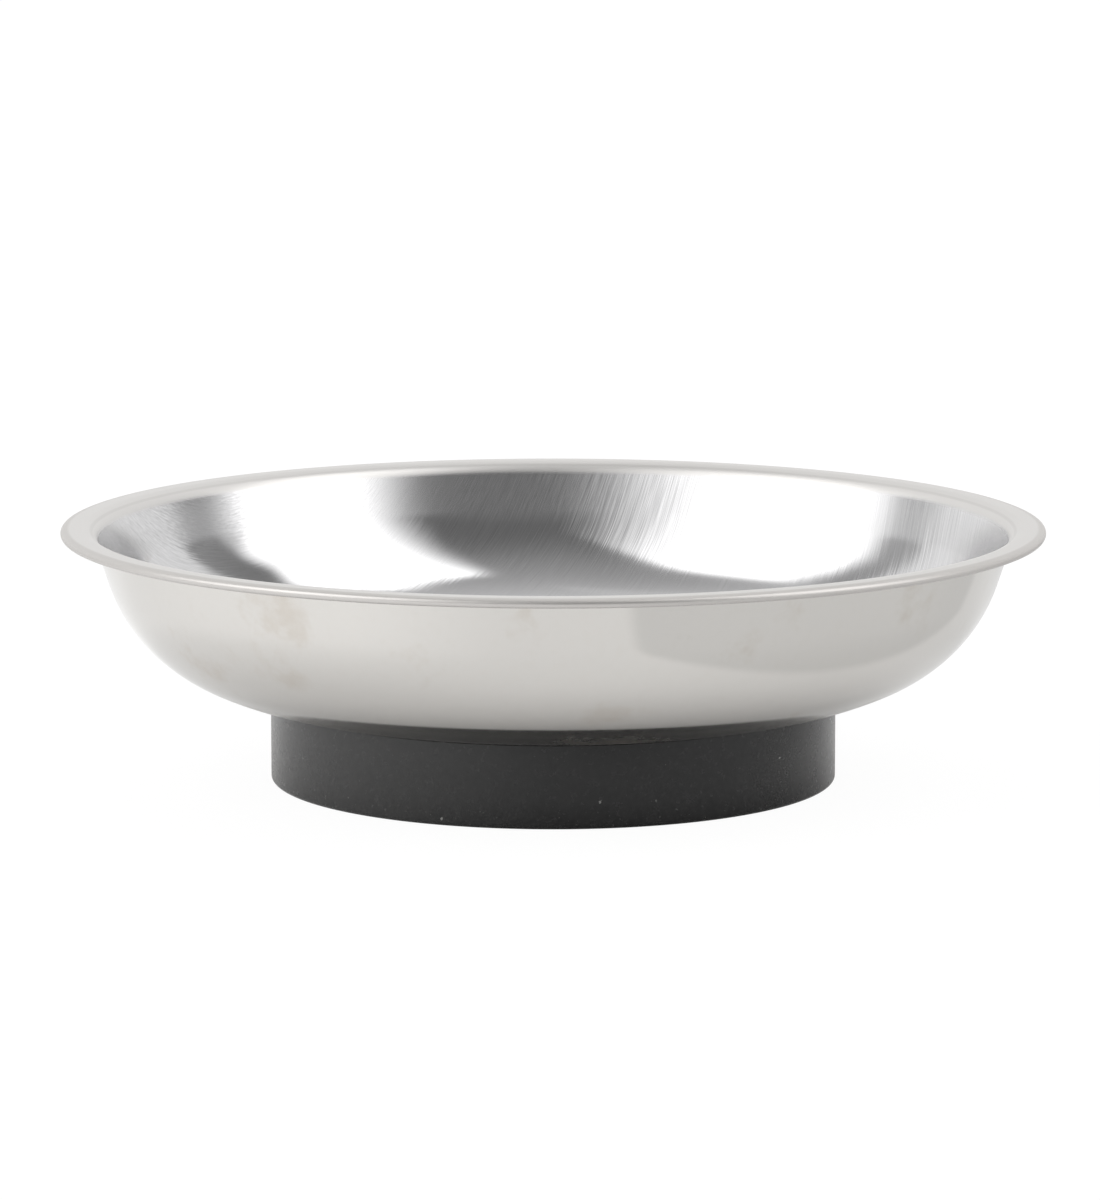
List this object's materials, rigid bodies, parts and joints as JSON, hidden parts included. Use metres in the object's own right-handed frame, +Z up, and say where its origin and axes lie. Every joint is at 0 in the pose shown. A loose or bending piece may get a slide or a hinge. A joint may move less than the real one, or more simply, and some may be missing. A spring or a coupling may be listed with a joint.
{
  "type": "magnetic parts tray",
  "caption": "Round pressed steel dish with a rounded rim, screwed to a ring magnet in a flat rubber boot, that holds small steel parts and clings to steel surfaces.",
  "frame": {"origin": "centre of the rubber boot's underside, on the surface that the tray stands on", "axes": "+Z up along the axis that all pieces share, towards the open side of the dish; X and Y are free because the outside is round"},
  "size_m": [0.15, 0.15, 0.0392],
  "materials": {
    "dish_steel": "brushed inside, polished outside",
    "rubber": "satin moulded",
    "ferrite": "ground faces, matt",
    "plate_steel": "zinc plated",
    "fastener_steel": "bright plated"
  },
  "bodies": {
    "root": {"dish": "dish_steel", "rubber_boot": "rubber", "ring_magnet": "ferrite", "backing_plate": "plate_steel", "centre_screw": "fastener_steel", "flat_washer": "fastener_steel", "spring_washer": "fastener_steel", "hex_nut": "fastener_steel"}
  },
  "joints": []
}
